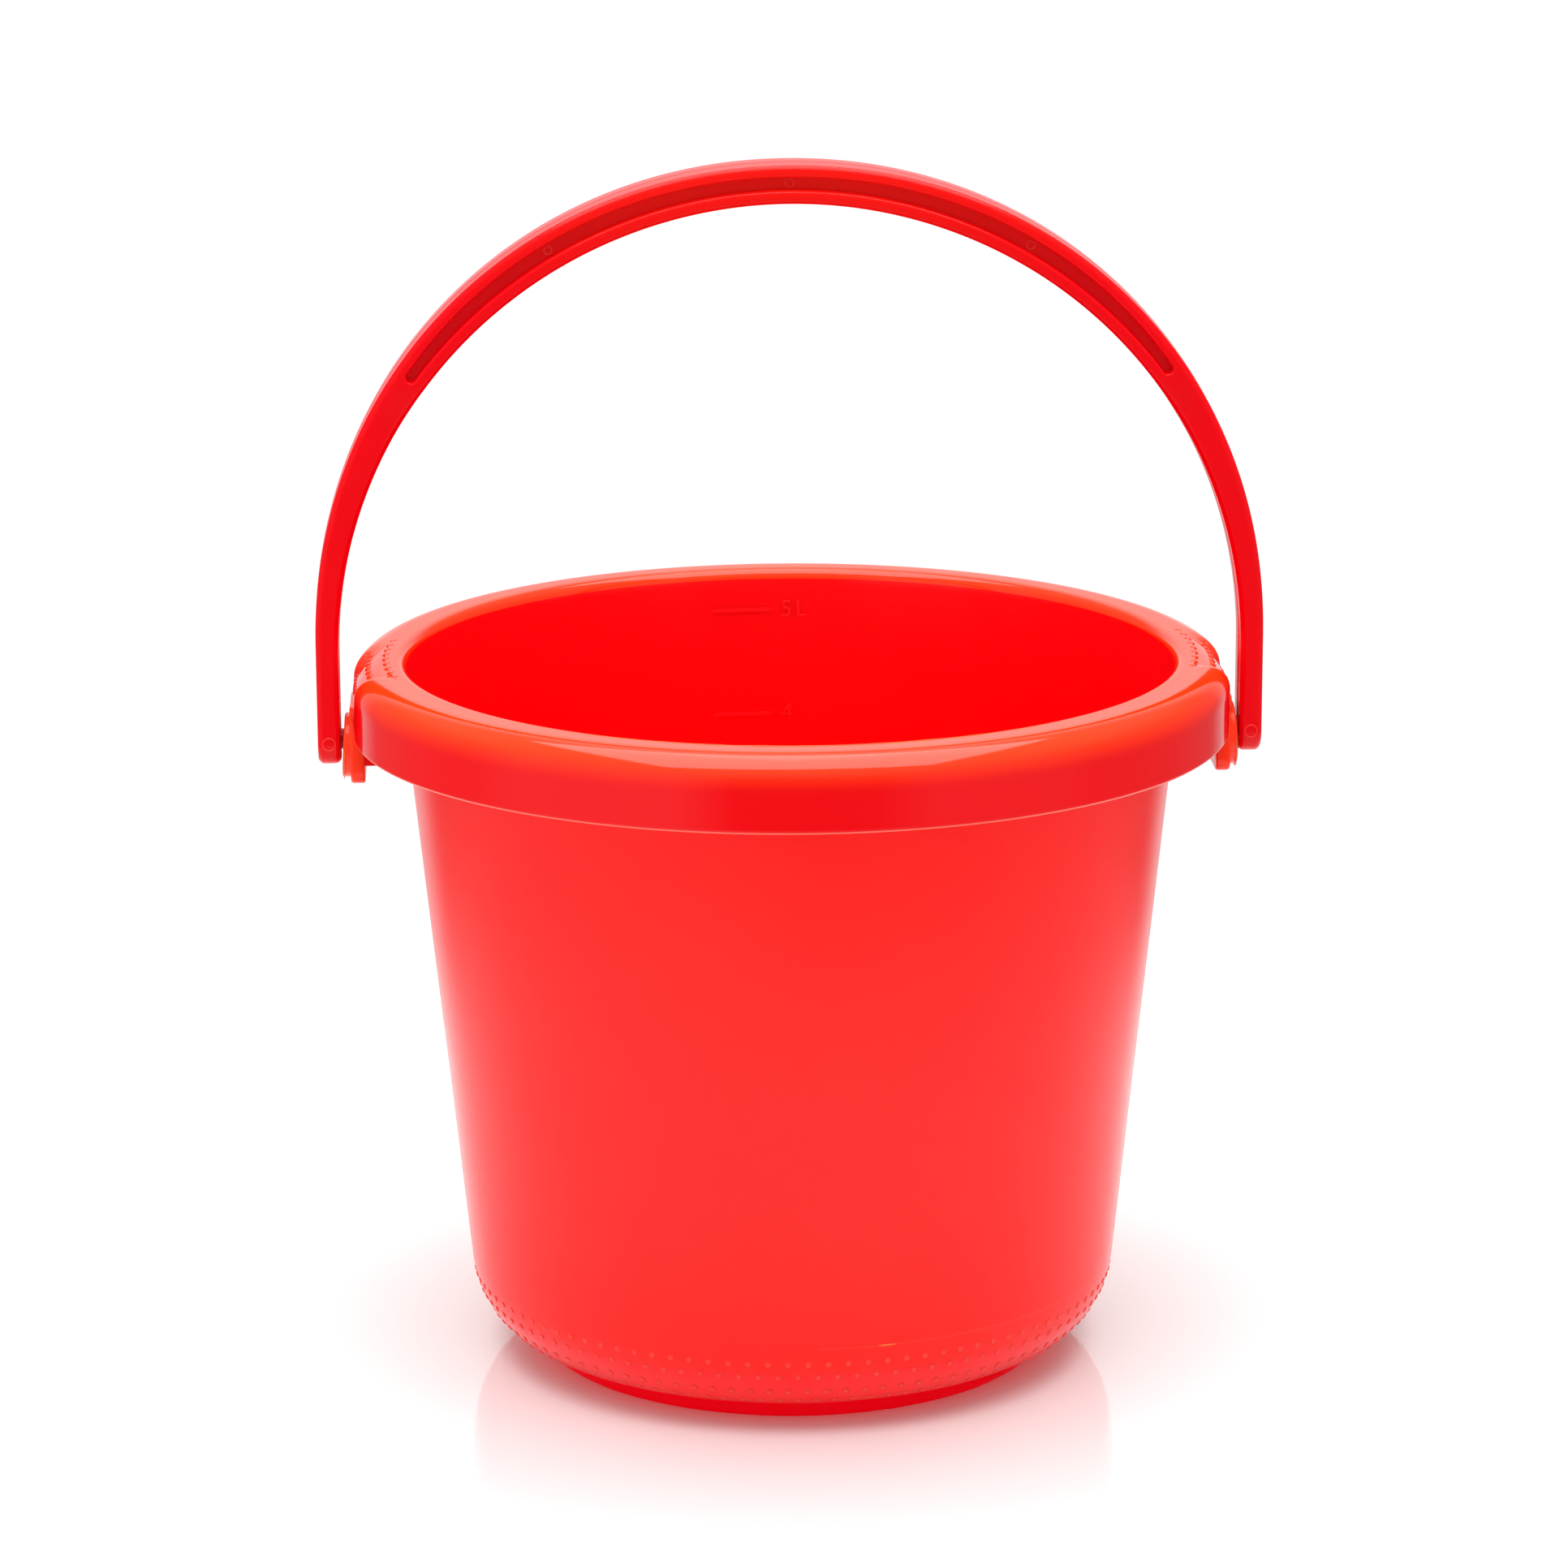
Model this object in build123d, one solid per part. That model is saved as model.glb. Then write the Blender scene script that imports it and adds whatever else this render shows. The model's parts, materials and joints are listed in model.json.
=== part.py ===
"""Round plastic pail of about five litres with a swinging bail handle.

Millimetres, +Z up. The origin is on the floor at the middle of the foot ring, and the two
ears that carry the handle are on the X axis. Two mouldings make the real object, the pail
and the bail; each is built here as the features that a mould maker would name.
"""

import math
import os

from build123d import *

# Pail
HEIGHT = 196.0
WALL = 2.0
WALL_RADIUS_AT_FLOOR = 86.9
WALL_TAPER = 0.1035
CORNER_RADIUS = 19.0
FLOOR_UNDERSIDE = 5.5
FLOOR_THICKNESS = 2.2

# Foot ring
FOOT_RADIUS = 70.0
FOOT_WIDTH = 3.0
FOOT_DRAFT = 0.8
FOOT_EDGE = 0.6

# Rim
RIM_RADIUS = 120.0
RIM_SEAT = 192.0
RIM_THICKNESS = 2.2
RIM_CORNER = 8.6
MOUTH_CORNER = 3.3
SKIRT_HEIGHT = 20.4
LIP_EDGE = 0.9

# Ears
PIVOT_HEIGHT = 173.0
LUG_INNER = 116.3
LUG_OUTER = 120.2
LUG_WIDTH = 20.0
LUG_BOTTOM = 162.0
LUG_TOP = 184.0
LUG_CORNER = 4.0
BOSS_RADIUS = 8.8
BOSS_THIN = 1.5
BOSS_THICK = 2.5
BOSS_DROP = 1.7
BOSS_ROOT = 0.5
RIB_BOTTOM = 167.4
RIB_THICKNESS = 1.6
RIB_OFFSET = 8.2
RIB_ROOT = 3.0

# Handle
ARM_INNER = 122.9
ARM_OUTER = 129.1
ARM_DEPTH = 13.6
GRIP_DEPTH = 16.4
GRIP_OUTER_CENTRE = 205.0
GRIP_TOP = 330.0
GRIP_UNDERSIDE = 319.6
FAN_CENTRE = 200.0
GRIP_END_ANGLE = 32.0
GROOVE_END_ANGLE = 36.0
GROOVE_DEPTH = 3.0
GROOVE_CORNER = 1.6
OUTER_FLANGE = 2.5
INNER_FLANGE = 2.9
GRIP_EDGE = 2.0
ARM_EDGE = 1.5

# Pivot pins
PIN_RADIUS = 2.8
PIN_CLEARANCE = 0.08
HEAD_RADIUS = 3.5
HEAD_LENGTH = 3.0
HEAD_CHAMFER = 1.2
HEAD_GAP = 0.3

# Volume marks on the inside of the wall
LITRES = 5
CUBIC_MM_PER_LITRE = 1.0e6
MARK_HEIGHT = 1.0
MARK_RAISE = 0.4
MARK_START_ANGLE = 90.3
MARK_ARC = 9.8

# Room given to cutting shapes so that they pass right through, and the match of a face's place
CLEAR = 1.0
FAR = 400.0
SAME_PLACE = 0.01


def outer_radius(z):
    """Outside radius of the tapered wall at height z."""
    return WALL_RADIUS_AT_FLOOR + WALL_TAPER * z


def inner_radius(z):
    """Inside radius of the tapered wall at height z."""
    return outer_radius(z) - WALL


def turned(points, rounded=()):
    """Solid of revolution about Z from (radius, height) points; rounded holds (index, radius)."""
    face = Plane.XZ * make_face(Polyline(*points, close=True))
    for index, radius in rounded:
        radial, height = points[index]
        corner = face.vertices().sort_by_distance((radial, 0, height))[0]
        face = fillet(corner, radius)
    return revolve(face, Axis.Z)


def pail_wall():
    """Tapered wall with its rounded bottom corner, open at the middle where the floor fits."""
    floor_top = FLOOR_UNDERSIDE + FLOOR_THICKNESS
    low_outer = (outer_radius(FLOOR_UNDERSIDE), FLOOR_UNDERSIDE)
    low_inner = (inner_radius(floor_top), floor_top)
    points = [
        (FOOT_RADIUS - FOOT_WIDTH, FLOOR_UNDERSIDE),
        low_outer,
        (outer_radius(RIM_SEAT), RIM_SEAT),
        (inner_radius(RIM_SEAT), RIM_SEAT),
        low_inner,
        (FOOT_RADIUS - FOOT_WIDTH, floor_top),
    ]
    return turned(points, [(1, CORNER_RADIUS), (4, CORNER_RADIUS - WALL)])


def pail_floor():
    """Flat disc that closes the bottom."""
    radius = FOOT_RADIUS - FOOT_WIDTH
    base = Pos(0, 0, FLOOR_UNDERSIDE)
    return base * extrude(Circle(radius), FLOOR_THICKNESS)


def foot_ring():
    """Low ring under the floor that the pail stands on, with a slight outward draft."""
    points = [
        (FOOT_RADIUS - FOOT_WIDTH, 0),
        (FOOT_RADIUS, 0),
        (FOOT_RADIUS + FOOT_DRAFT, FLOOR_UNDERSIDE),
        (FOOT_RADIUS - FOOT_WIDTH, FLOOR_UNDERSIDE),
    ]
    return turned(points, [(1, FOOT_EDGE)])


def turned_over_edge():
    """Whole rim section: mouth corner, flat top, large outer corner and hanging skirt."""
    lip = HEIGHT - SKIRT_HEIGHT
    under = HEIGHT - RIM_THICKNESS
    skirt_inner = RIM_RADIUS - RIM_THICKNESS
    points = [
        (inner_radius(RIM_SEAT), RIM_SEAT),
        (inner_radius(HEIGHT), HEIGHT),
        (RIM_RADIUS, HEIGHT),
        (RIM_RADIUS, lip),
        (skirt_inner, lip),
        (skirt_inner, under),
        (outer_radius(under), under),
        (outer_radius(RIM_SEAT), RIM_SEAT),
    ]
    rounded = [
        (1, MOUTH_CORNER),
        (2, RIM_CORNER),
        (5, RIM_CORNER - RIM_THICKNESS),
        (3, LIP_EDGE),
    ]
    return turned(points, rounded)


def rim_and_skirt():
    """The flat-topped rim with its rounded corners, and the straight skirt under it."""
    edge = turned_over_edge()
    corner_foot = HEIGHT - RIM_CORNER
    below = Pos(0, 0, corner_foot - HEIGHT / 2) * Cylinder(2 * RIM_RADIUS, HEIGHT)
    for side in (lug_plate(), mirror(lug_plate(), Plane.YZ)):
        edge -= side
    return edge - below, edge & below


def across(start, end, radius):
    """Cylinder along X at the pivot height, from x = start to x = end."""
    plane = Plane(origin=(start, 0, PIVOT_HEIGHT), z_dir=(1, 0, 0))
    return extrude(plane * Circle(radius), end - start)


def lug_plate():
    """Flat plate that carries the pivot, on the +X side."""
    centre = Pos((LUG_INNER + LUG_OUTER) / 2, 0, (LUG_BOTTOM + LUG_TOP) / 2)
    plate = centre * Box(LUG_OUTER - LUG_INNER, LUG_WIDTH, LUG_TOP - LUG_BOTTOM)
    low_corners = plate.edges().filter_by(Axis.X).group_by(Axis.Z)[0]
    return fillet(low_corners, LUG_CORNER)


def boss():
    """Round boss on the plate's outer face, a little below the pivot; it thickens downwards."""
    disc = across(LUG_OUTER - BOSS_ROOT, LUG_OUTER + BOSS_THICK, BOSS_RADIUS)
    disc = Pos(0, 0, -BOSS_DROP) * disc
    slope = math.degrees(math.atan((BOSS_THICK - BOSS_THIN) / (2 * BOSS_RADIUS)))
    corner = (LUG_OUTER + BOSS_THICK, 0, PIVOT_HEIGHT - BOSS_DROP - BOSS_RADIUS)
    cutter = Pos(FAR / 2, 0, 0) * Box(FAR, FAR, FAR)
    return disc - Pos(*corner) * Rot(0, -slope, 0) * cutter


def ear():
    """Lug plate with its boss and the hole that the pin turns in, on the +X side."""
    start = LUG_INNER - CLEAR
    end = LUG_OUTER + BOSS_THICK + CLEAR
    hole = across(start, end, PIN_RADIUS + PIN_CLEARANCE)
    return lug_plate() + boss() - hole


def ear_ribs():
    """Pair of ribs behind one ear that tie the lug plate to the wall, on the +X side."""
    below = RIB_BOTTOM - CLEAR
    filled_wall = turned(
        [
            (0, below),
            (outer_radius(below), below),
            (outer_radius(HEIGHT), HEIGHT),
            (0, HEIGHT),
        ]
    )
    start = outer_radius(RIB_BOTTOM) - RIB_ROOT
    length = LUG_INNER - start
    rise = HEIGHT - RIM_THICKNESS - RIB_BOTTOM
    block = Box(length, RIB_THICKNESS, rise)
    ribs = []
    for side in (-1, 1):
        place = Pos(start + length / 2, side * RIB_OFFSET, RIB_BOTTOM + rise / 2)
        ribs.append(place * block - filled_wall - turned_over_edge())
    return ribs


def volume_marks():
    """One raised line on the inside of the wall at each litre of the tapered bore."""
    floor_top = FLOOR_UNDERSIDE + FLOOR_THICKNESS
    base = inner_radius(floor_top)
    marks = []
    for litre in range(1, LITRES + 1):
        cubed = base**3 + 3 * WALL_TAPER * litre * CUBIC_MM_PER_LITRE / math.pi
        z = floor_top + (cubed ** (1 / 3) - base) / WALL_TAPER
        low = z - MARK_HEIGHT / 2
        high = z + MARK_HEIGHT / 2
        outline = Polyline(
            (inner_radius(low), low),
            (inner_radius(low) - MARK_RAISE, low),
            (inner_radius(high) - MARK_RAISE, high),
            (inner_radius(high), high),
            close=True,
        )
        line = revolve(Plane.XZ * make_face(outline), Axis.Z, MARK_ARC)
        marks.append(Rot(0, 0, MARK_START_ANGLE) * line)
    return marks


def band(outer_gap, inner_gap):
    """Bail outline in the XZ plane, narrowed by the gaps from its outer and inner edges."""
    width = ARM_OUTER - outer_gap
    inner = ARM_INNER + inner_gap
    rise = GRIP_TOP - GRIP_OUTER_CENTRE - outer_gap
    inner_centre = GRIP_UNDERSIDE - ARM_INNER
    outline = [
        Line((width, PIVOT_HEIGHT), (width, GRIP_OUTER_CENTRE)),
        EllipticalCenterArc((0, GRIP_OUTER_CENTRE), width, rise, 0, arc_size=180),
        Line((-width, GRIP_OUTER_CENTRE), (-width, PIVOT_HEIGHT)),
        Line((-width, PIVOT_HEIGHT), (-inner, PIVOT_HEIGHT)),
        Line((-inner, PIVOT_HEIGHT), (-inner, inner_centre)),
        CenterArc((0, inner_centre), inner, 0, 180),
        Line((inner, inner_centre), (inner, PIVOT_HEIGHT)),
        Line((inner, PIVOT_HEIGHT), (width, PIVOT_HEIGHT)),
    ]
    return make_face(outline)


def fan(angle):
    """Wide wedge above the lines that leave the bail's middle at this angle on each side."""
    half = FAR * math.cos(math.radians(angle))
    side = FAN_CENTRE + FAR * math.sin(math.radians(angle))
    top = FAN_CENTRE + FAR
    points = [(0, FAN_CENTRE), (half, side), (half, top), (-half, top), (-half, side)]
    return make_face(Polyline(*points, close=True))


def long_edges(solid, depth):
    """Edges that run along the bail's curve on its front and back faces."""
    found = []
    for edge in solid.edges():
        on_face = abs(abs(edge.center().Y) - depth / 2) < SAME_PLACE
        if on_face and edge.length > 3 * depth:
            found.append(edge)
    return found


def grip():
    """Deep upper arch that the hand holds, with a groove along the front and the back."""
    solid = extrude(Plane.XZ * (band(0, 0) & fan(GRIP_END_ANGLE)), GRIP_DEPTH / 2, both=True)
    solid = fillet(long_edges(solid, GRIP_DEPTH), GRIP_EDGE)
    channel = band(OUTER_FLANGE, INNER_FLANGE) & fan(GROOVE_END_ANGLE)
    channel = fillet(channel.vertices(), GROOVE_CORNER)
    for side in (-1, 1):
        floor = Plane.XZ.offset(side * (GRIP_DEPTH / 2 - GROOVE_DEPTH))
        solid -= extrude(floor * channel, side * (GROOVE_DEPTH + CLEAR))
    return solid


def arm():
    """Straight arm with a round lower end about the pivot, on the +X side."""
    right_half = Pos(FAR / 2, PIVOT_HEIGHT + FAR / 2) * Rectangle(FAR, FAR)
    side_band = (band(0, 0) - fan(GRIP_END_ANGLE)) & right_half
    solid = extrude(Plane.XZ * side_band, ARM_DEPTH / 2, both=True)
    solid += across(ARM_INNER, ARM_OUTER, ARM_DEPTH / 2)
    return fillet(long_edges(solid, ARM_DEPTH), ARM_EDGE)


def pivot_pin():
    """Pin moulded on the arm's inner face, with the snap head that holds it in the ear."""
    shoulder = LUG_INNER - HEAD_GAP
    tip = shoulder - HEAD_LENGTH
    head = across(tip, shoulder, HEAD_RADIUS)
    tip_edge = head.edges().group_by(Axis.X)[0]
    return across(shoulder - BOSS_ROOT, ARM_INNER, PIN_RADIUS) + chamfer(tip_edge, HEAD_CHAMFER)


def both_sides(name, solid):
    """The right-hand piece on +X and its mirror image on -X."""
    return {name + "_right": solid, name + "_left": mirror(solid, Plane.YZ)}


def pieces():
    """Every node's solids by name."""
    rim, skirt = rim_and_skirt()
    ribs = ear_ribs()
    nodes = {
        "pail_wall": pail_wall(),
        "pail_floor": pail_floor(),
        "foot_ring": foot_ring(),
        "rim": rim,
        "skirt": skirt,
        "ear_ribs": Compound(children=ribs + [mirror(rib, Plane.YZ) for rib in ribs]),
        "volume_marks": Compound(children=volume_marks()),
        "grip": grip(),
    }
    nodes.update(both_sides("ear", ear()))
    nodes.update(both_sides("arm", arm()))
    nodes.update(both_sides("pivot_pin", pivot_pin()))
    return nodes


os.makedirs("parts", exist_ok=True)
for node, shape in pieces().items():
    export_step(shape, f"parts/{node}.step")
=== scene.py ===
import json
import math

import bmesh
import bpy
import numpy as np
from mathutils import Matrix, Vector, noise


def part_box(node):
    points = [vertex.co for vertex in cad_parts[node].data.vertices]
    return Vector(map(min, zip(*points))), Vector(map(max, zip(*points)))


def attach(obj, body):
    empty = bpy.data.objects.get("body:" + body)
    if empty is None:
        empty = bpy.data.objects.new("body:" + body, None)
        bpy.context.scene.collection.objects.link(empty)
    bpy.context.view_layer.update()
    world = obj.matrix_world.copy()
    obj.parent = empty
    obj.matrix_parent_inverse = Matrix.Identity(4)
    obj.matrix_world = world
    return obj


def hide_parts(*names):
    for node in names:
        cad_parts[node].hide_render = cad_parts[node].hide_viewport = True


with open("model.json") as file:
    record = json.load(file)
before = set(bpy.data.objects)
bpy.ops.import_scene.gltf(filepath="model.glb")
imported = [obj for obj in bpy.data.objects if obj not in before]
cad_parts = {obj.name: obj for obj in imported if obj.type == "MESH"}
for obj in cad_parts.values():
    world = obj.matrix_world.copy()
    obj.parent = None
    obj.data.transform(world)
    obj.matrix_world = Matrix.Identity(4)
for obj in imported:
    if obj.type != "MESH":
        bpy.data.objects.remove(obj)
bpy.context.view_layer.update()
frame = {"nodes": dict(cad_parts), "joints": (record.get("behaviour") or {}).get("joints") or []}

# ------------------------------------------------------------------------------------------------
# Pail shell. Foot ring, floor, tapered wall and the rim that turns over into a hanging skirt are one
# injection moulding in red polypropylene, about 2 mm thick. Above each ear the rim's outer corner
# is eased into a thumb rest. The mould is polished; the skin has slow waves from shrinking.
# ------------------------------------------------------------------------------------------------
MM = 0.001
wall_low, wall_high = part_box("pail_wall")
skirt_low, skirt_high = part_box("skirt")
rim_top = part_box("rim")[1].z
floor_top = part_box("pail_floor")[1].z
underside = wall_low.z
lip = skirt_low.z
rim_radius = skirt_high.x
foot_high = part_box("foot_ring")[1]

WALL_TAPER = 0.1035
SHELL = 2.0 * MM
FOOT_WIDTH = 3.0 * MM
FOOT_DRAFT = 0.8 * MM
FOOT_EDGE = 0.7 * MM
FOOT_RIPPLE = 0.22 * MM
FOOT_GLOW_TOP = 5.6 * MM
FOOT_PAINTED_GLOW = 0.2
RIM_SHELL = 2.2 * MM
RIM_CORNER = 8.6 * MM
UNDER_RIM_FILLET = 1.2 * MM
MOUTH_CORNER = 3.3 * MM
LIP_EDGE = 0.6 * MM
LIP_HIGHLIGHT_TALL = 0.55 * MM
LIP_HIGHLIGHT_WIDE = 1.2 * MM
BASE_CORNER_TOP = 26.5 * MM
BASE_CORNER_WIDTH = 16.3 * MM
BASE_CORNER_POWER = 2.2
GATE_RADIUS = 2.2 * MM
GATE_HEIGHT = 0.9 * MM
AXIS_HOLE = 0.05 * MM
THUMB_REST_CORNER = 12.0 * MM
THUMB_REST_SETBACK = 0.6 * MM
THUMB_REST_HALF_TOP = 13.6
THUMB_REST_HALF_SKIRT = 7.0
THUMB_REST_HALF_LIP = 2.5
THUMB_REST_SHOULDER = 1.3
THUMB_REST_SIDES = (-1.5, 181.5)
SHELL_STEPS = 900

PLASTIC_IOR = 1.49
SOAK_BY_COLOUR = (1.0, 0.12, 0.06)
SINK_DEPTH = 0.12 * MM
PEEL_DEPTH = 0.006 * MM


def moulded(name, reds, roughness, sink=1.0, glow=0.0, gloss=0.36, reach=7.0, top=None):
    """Polypropylene from one mould: two reds that drift with the flow, orange peel and slow sink.

    glow is how much light soaks in and reach how many millimetres it travels there. top is (reds,
    height, height) for a painted highlight: the base colour turns to other reds between two heights.
    """
    made = bpy.data.materials.new(name)
    made.use_nodes = True
    nodes = made.node_tree.nodes
    join = made.node_tree.links.new
    shader = nodes["Principled BSDF"]
    shader.inputs["IOR"].default_value = PLASTIC_IOR
    shader.inputs["Specular IOR Level"].default_value = gloss
    shader.inputs["Subsurface Weight"].default_value = glow
    shader.inputs["Subsurface Radius"].default_value = SOAK_BY_COLOUR
    shader.inputs["Subsurface Scale"].default_value = reach * MM
    place = nodes.new("ShaderNodeTexCoord")

    def flecks(scale, detail):
        pattern = nodes.new("ShaderNodeTexNoise")
        pattern.inputs["Scale"].default_value = scale
        pattern.inputs["Detail"].default_value = detail
        join(place.outputs["Object"], pattern.inputs["Vector"])
        return pattern.outputs["Fac"]

    def drift(between):
        band = nodes.new("ShaderNodeValToRGB")
        band.color_ramp.elements[0].position = 0.3
        band.color_ramp.elements[1].position = 0.7
        for stop, red in zip(band.color_ramp.elements, between):
            stop.color = (*red, 1)
        join(flecks(14, 3), band.inputs["Fac"])
        return band.outputs["Color"]

    if top:
        apart = nodes.new("ShaderNodeSeparateXYZ")
        join(place.outputs["Object"], apart.inputs["Vector"])
        rising = nodes.new("ShaderNodeMapRange")
        rising.interpolation_type = "SMOOTHSTEP"
        rising.inputs["From Min"].default_value = top[1]
        rising.inputs["From Max"].default_value = top[2]
        join(apart.outputs["Z"], rising.inputs["Value"])
        blend = nodes.new("ShaderNodeMix")
        blend.data_type = "RGBA"
        join(rising.outputs["Result"], blend.inputs["Factor"])
        join(drift(reds), blend.inputs["A"])
        join(drift(top[0]), blend.inputs["B"])
        join(blend.outputs["Result"], shader.inputs["Base Color"])
    else:
        join(drift(reds), shader.inputs["Base Color"])

    sheen = nodes.new("ShaderNodeMapRange")
    sheen.inputs["To Min"].default_value = roughness * 0.85
    sheen.inputs["To Max"].default_value = roughness * 1.15
    join(flecks(60, 4), sheen.inputs["Value"])
    join(sheen.outputs["Result"], shader.inputs["Roughness"])

    slow = nodes.new("ShaderNodeBump")
    slow.inputs["Strength"].default_value = sink
    slow.inputs["Distance"].default_value = SINK_DEPTH
    join(flecks(28, 1), slow.inputs["Height"])
    fine = nodes.new("ShaderNodeBump")
    fine.inputs["Strength"].default_value = 0.5
    fine.inputs["Distance"].default_value = PEEL_DEPTH
    join(flecks(900, 2), fine.inputs["Height"])
    join(slow.outputs["Normal"], fine.inputs["Normal"])
    join(fine.outputs["Normal"], shader.inputs["Normal"])
    return made


def skin(name, grid, wrap=False, caps=False, sharp=50):
    """Smooth mesh over rows of points. Each row closes round; wrap joins the last row to the first."""
    rows, columns = grid.shape[:2]
    number = np.arange(rows * columns).reshape(rows, columns)
    upper = number if wrap else number[:-1]
    lower = np.roll(number, -1, axis=0) if wrap else number[1:]
    quads = np.stack([upper, np.roll(upper, -1, 1), np.roll(lower, -1, 1), lower], axis=-1)
    faces = quads.reshape(-1, 4).tolist()
    if caps:
        faces += [number[0].tolist(), number[-1].tolist()]
    mesh = bpy.data.meshes.new(name)
    mesh.from_pydata(grid.reshape(-1, 3).tolist(), [], faces)
    return close_up(name, mesh, sharp)


def close_up(name, mesh, sharp=50):
    """Weld coincident points, turn all faces outwards, shade smooth and make the object."""
    shape = bmesh.new()
    shape.from_mesh(mesh)
    bmesh.ops.remove_doubles(shape, verts=shape.verts, dist=0.002 * MM)
    bmesh.ops.recalc_face_normals(shape, faces=shape.faces)
    shape.to_mesh(mesh)
    shape.free()
    mesh.shade_smooth()
    mesh.set_sharp_from_angle(angle=math.radians(sharp))
    made = bpy.data.objects.new(name, mesh)
    bpy.context.scene.collection.objects.link(made)
    return made


def arc(radial, height, radius, start, end, steps):
    """Points on an arc about (radial, height); 0 degrees is outwards and 90 is up."""
    turn = np.radians(np.linspace(start, end, steps))
    return [(radial + radius * math.cos(a), height + radius * math.sin(a)) for a in turn]


def run(start, end, steps):
    """Points along a straight stretch, both ends included."""
    share = np.linspace(0, 1, steps)
    return [(start[0] + (end[0] - start[0]) * s, start[1] + (end[1] - start[1]) * s) for s in share]


def wall_radius(height):
    """Outside radius of the tapered wall."""
    return wall_high.x - WALL_TAPER * (wall_high.z - height)


def base_corner(turn, foot, inset):
    """Point on the full, slightly squared bottom corner; turn is 90 at the floor and 0 at the wall."""
    power = 2 / BASE_CORNER_POWER
    width = BASE_CORNER_WIDTH - inset
    drop = math.sin(math.radians(turn)) ** power
    height = BASE_CORNER_TOP - (BASE_CORNER_TOP - foot) * drop
    reach = width * max(math.cos(math.radians(turn)), 0) ** power
    return wall_radius(height) - inset - width + reach, height


def corner_run(foot, inset, turns):
    """Points round the bottom corner at each of these turns."""
    return [base_corner(turn, foot, inset) for turn in turns]


def shell_outline(eased):
    """Closed section of the moulding from the axis under the floor to the axis inside it."""
    under_rim = rim_top - RIM_SHELL
    inner_skirt = rim_radius - RIM_SHELL
    fillet = UNDER_RIM_FILLET
    lip_foot = lip + LIP_EDGE
    if eased:
        corner = THUMB_REST_CORNER
        edge = rim_radius - THUMB_REST_SETBACK
        last = 86
    else:
        corner = RIM_CORNER
        edge = rim_radius
        last = 90
    middle = (edge - corner, rim_top - corner)
    gate = [(AXIS_HOLE, underside - GATE_HEIGHT), (GATE_RADIUS * 0.8, underside - GATE_HEIGHT)]
    gate += [(GATE_RADIUS, underside - GATE_HEIGHT * 0.7), (GATE_RADIUS, underside)]
    foot_out = foot_high.x - FOOT_DRAFT
    foot_in = foot_out - FOOT_WIDTH
    points = gate + run((8 * MM, underside), (foot_in - 0.3 * MM, underside), 6)
    points += [(foot_in, underside - 0.4 * MM), (foot_in, FOOT_EDGE + MM)]
    points += arc(foot_in + FOOT_EDGE, FOOT_EDGE, FOOT_EDGE, 180, 270, 4)
    points += arc(foot_out - FOOT_EDGE, FOOT_EDGE, FOOT_EDGE, 270, 355, 5)
    points += run((foot_out + 0.25 * FOOT_DRAFT, 2 * MM), (foot_high.x - 0.1 * MM, 5 * MM), 4)
    turns = 90 - 90 * np.linspace(0, 1, 34) ** 0.9
    points += [place for place in corner_run(underside, 0, turns) if place[0] > foot_high.x]
    top = under_rim - fillet
    wall_foot = 29 * MM
    points += run((wall_radius(wall_foot), wall_foot), (wall_radius(top), top), 25)
    points += arc(wall_radius(top) + fillet, top, fillet, 170, 90, 4)
    points += arc(*middle, corner - RIM_SHELL, last, 0, 12)
    points += run((edge - RIM_SHELL, middle[1] - MM), (inner_skirt, lip_foot + MM), 5)
    points += arc(inner_skirt + LIP_EDGE, lip_foot, LIP_EDGE, 180, 270, 5)
    points += arc(rim_radius - LIP_EDGE, lip_foot, LIP_EDGE, 275, 360, 5)
    points += run((rim_radius, lip_foot + MM), (edge, middle[1] - 0.6 * MM), 7)
    points += arc(*middle, corner, 0, last, 22)
    lean = math.degrees(math.atan(WALL_TAPER))
    mouth_height = rim_top - MOUTH_CORNER
    mouth = wall_radius(mouth_height) - SHELL + MOUTH_CORNER / math.cos(math.radians(lean))
    points += run((mouth + 2.2 * MM, rim_top), (mouth + 0.5 * MM, rim_top), 3)
    points += arc(mouth, mouth_height, MOUTH_CORNER, 90, 180 - lean, 9)
    bore_top = mouth_height - 1.2 * MM
    bore_foot = 34 * MM
    points += run(
        (wall_radius(bore_top) - SHELL, bore_top), (wall_radius(bore_foot) - SHELL, bore_foot), 24
    )
    points += corner_run(floor_top, SHELL, 90 * np.linspace(0, 1, 20) ** 1.1)
    points += run((64 * MM, floor_top), (AXIS_HOLE, floor_top), 5)
    return np.array(points)


def ease(share):
    """Smooth step from 0 to 1."""
    share = np.clip(share, 0, 1)
    return share * share * (3 - 2 * share)


def thumb_rest_half(height):
    """Half width of a thumb rest in degrees: wide on top of the rim and closing down the skirt."""
    corner = rim_top - RIM_CORNER
    up = np.clip((height - corner) / RIM_CORNER, 0, 1)
    turned = np.degrees(np.arcsin(up)) / 90
    half = THUMB_REST_HALF_SKIRT + (THUMB_REST_HALF_TOP - THUMB_REST_HALF_SKIRT) * turned**2.3
    down = np.clip((corner - height) / (corner - lip - 3 * MM), 0, 1)
    return half - (THUMB_REST_HALF_SKIRT - THUMB_REST_HALF_LIP) * down


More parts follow.
